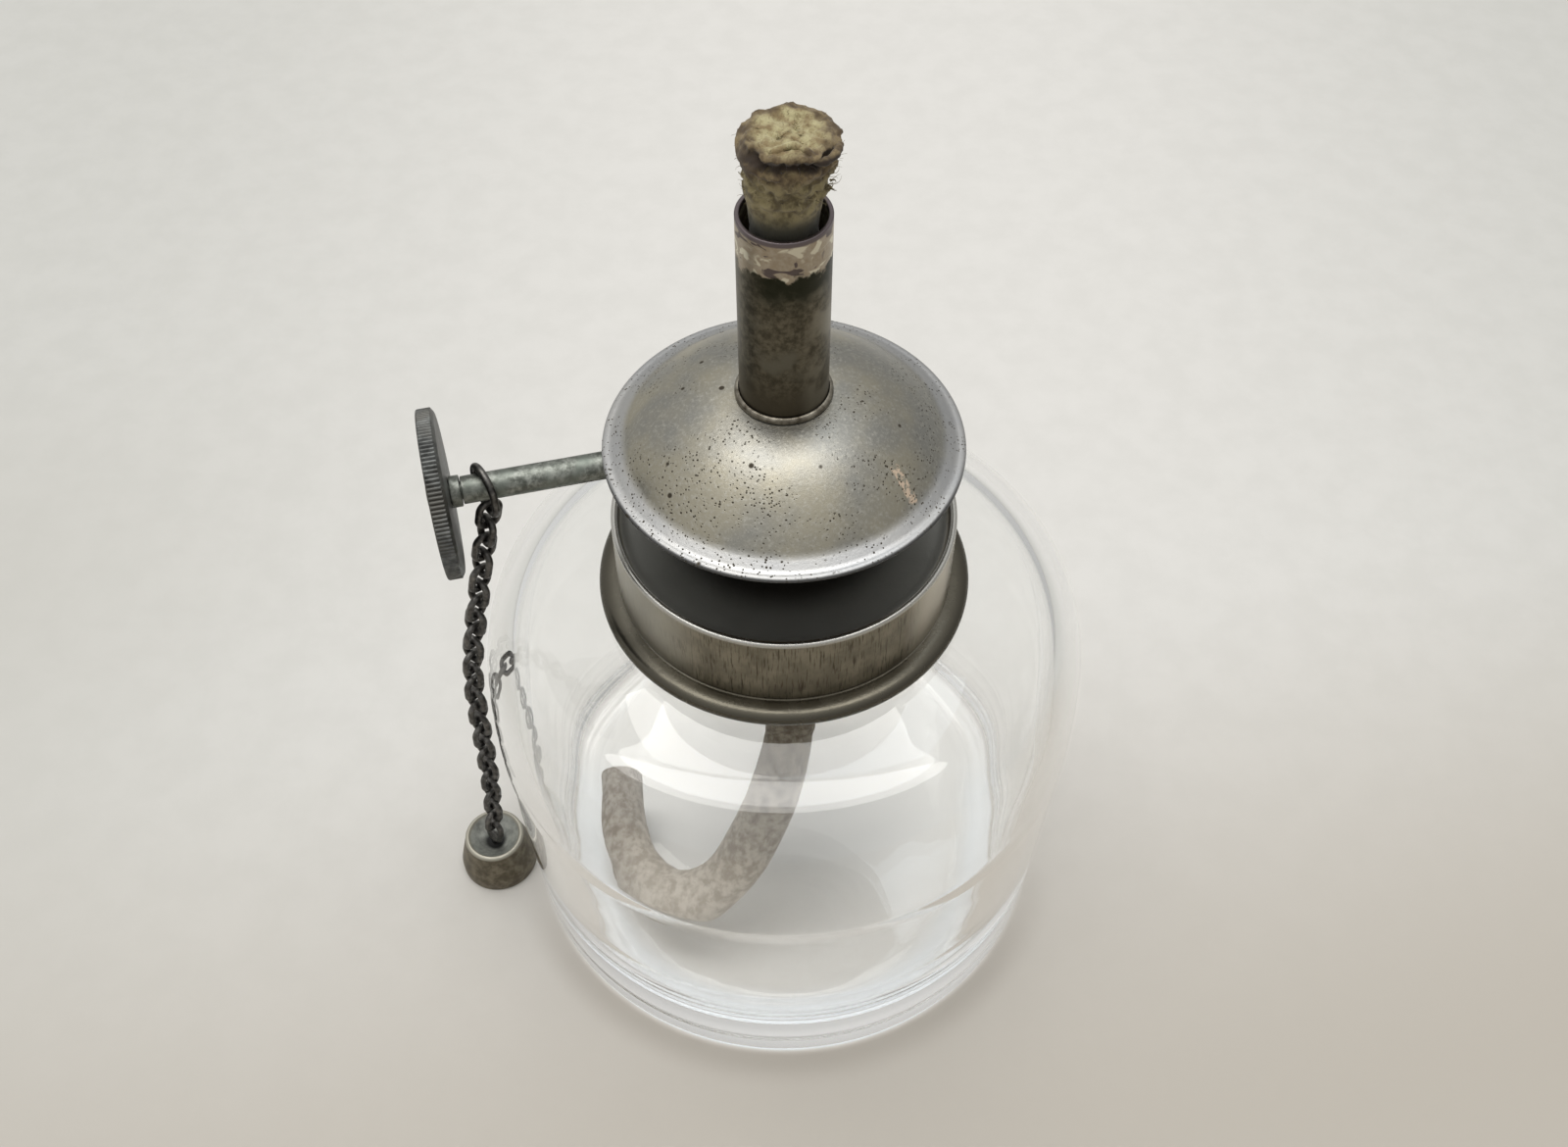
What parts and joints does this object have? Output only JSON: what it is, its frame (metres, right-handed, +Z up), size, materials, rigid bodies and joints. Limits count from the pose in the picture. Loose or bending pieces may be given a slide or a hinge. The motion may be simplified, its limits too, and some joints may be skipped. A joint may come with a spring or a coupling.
{
  "type": "alcohol burner",
  "caption": "Laboratory spirit lamp: round glass bottle, screw-on metal head with drip dish, wick tube and wick-raising thumb wheel, and a snuffer cap on a chain.",
  "frame": {"origin": "centre of the bottle's flat base, on the surface that it stands on", "axes": "+Z up along the bottle and the wick tube, thumb wheel and chain towards -X"},
  "size_m": [0.0853, 0.076, 0.1225],
  "materials": {
    "glass": "clear moulded soda glass",
    "washer_cork": "pressed cork",
    "collar_plate": "tarnished nickel plate with fine upright scratches",
    "dark_brass": "darkened brass",
    "nickel_plate": "aged satin nickel plate, pitted",
    "tube_bronze": "heat-browned tube with a bare band at its top",
    "shaft_steel": "dull grey steel",
    "wheel_zinc": "dark zinc grey, knurled rim",
    "wick_cotton": "cotton cord, charred at its frayed head",
    "chain_gunmetal": "dark oxidised wire",
    "snuffer_metal": "dark bronze-grey, worn rim"
  },
  "bodies": {
    "bottle": {"glass_bottle": "glass"},
    "seal": {"sealing_washer": "washer_cork"},
    "head": {"collar_shell": "collar_plate", "thread_sleeve": "dark_brass", "tube_flange": "dark_brass", "burner_barrel": "dark_brass", "drip_dish": "nickel_plate", "wick_tube": "tube_bronze", "tube_ferrule": "nickel_plate", "shaft_bush_outer": "shaft_steel", "shaft_bush_inner": "shaft_steel"},
    "knob": {"feed_shaft": "shaft_steel", "feed_wheel_outer": "shaft_steel", "feed_wheel_inner": "shaft_steel", "knob_hub": "shaft_steel", "thumb_wheel": "wheel_zinc", "knob_rivet": "shaft_steel"},
    "wick": {"wick": "wick_cotton", "wick_tail": "wick_cotton"},
    "chain_upper": {"chain_hook": "chain_gunmetal", "chain_link_01": "chain_gunmetal", "chain_link_02": "chain_gunmetal", "chain_link_03": "chain_gunmetal", "chain_link_04": "chain_gunmetal", "chain_link_05": "chain_gunmetal", "chain_link_06": "chain_gunmetal", "chain_link_07": "chain_gunmetal", "chain_link_08": "chain_gunmetal", "chain_link_09": "chain_gunmetal", "chain_link_10": "chain_gunmetal", "chain_link_11": "chain_gunmetal"},
    "chain_middle": {"chain_link_12": "chain_gunmetal"},
    "chain_lower": {"chain_link_13": "chain_gunmetal", "chain_link_14": "chain_gunmetal", "chain_link_15": "chain_gunmetal", "chain_link_16": "chain_gunmetal", "chain_link_17": "chain_gunmetal", "chain_link_18": "chain_gunmetal", "chain_link_19": "chain_gunmetal", "chain_link_20": "chain_gunmetal", "chain_link_21": "chain_gunmetal", "chain_link_22": "chain_gunmetal", "chain_link_23": "chain_gunmetal", "chain_link_24": "chain_gunmetal", "chain_link_25": "chain_gunmetal", "chain_link_26": "chain_gunmetal"},
    "snuffer": {"snuffer_cap": "snuffer_metal", "snuffer_eye": "snuffer_metal"}
  },
  "joints": [
    {"name": "collar_rise", "type": "slide", "parent": "bottle", "child": "seal", "axis": [0, 0, 1], "range_m": [0, 0.00635]},
    {"name": "collar_turn", "type": "hinge", "parent": "seal", "child": "head", "pos_m": [0, 0, 0.065], "axis": [0, 0, 1], "range_deg": [0, 540]},
    {"name": "knob_turn", "type": "hinge", "parent": "head", "child": "knob", "pos_m": [-0.00068, 0.00277, 0.0802], "axis": [-0.9715, -0.2368, 0], "range_deg": [-72, 340]},
    {"name": "wick_rise", "type": "slide", "parent": "head", "child": "wick", "axis": [0, 0, 1], "range_m": [-0.00207, 0.00979]},
    {"name": "chain_swing", "type": "hinge", "parent": "head", "child": "chain_upper", "pos_m": [-0.03262, -0.00502, 0.0802], "axis": [-0.9715, -0.2368, 0], "range_deg": [-60, 60]},
    {"name": "chain_bend_back", "type": "hinge", "parent": "chain_upper", "child": "chain_middle", "pos_m": [-0.03881, -0.00636, 0.04725], "axis": [0.576, 0.8108, -0.1038], "range_deg": [0, 70]},
    {"name": "chain_bend_front", "type": "hinge", "parent": "chain_middle", "child": "chain_lower", "pos_m": [-0.0391, -0.0064, 0.04454], "axis": [-0.8077, 0.5843, 0.0791], "range_deg": [0, 70]},
    {"name": "snuffer_tilt", "type": "hinge", "parent": "chain_lower", "child": "snuffer", "pos_m": [-0.04194, -0.00687, 0.0065], "axis": [-0.8072, 0.5843, 0.0835], "range_deg": [0, 35]}
  ],
  "couplings": [
    {"joint": "collar_turn", "follows": "collar_rise", "rad_per_m": 1484.3},
    {"joint": "knob_turn", "follows": "wick_rise", "rad_per_m": 606.06}
  ]
}
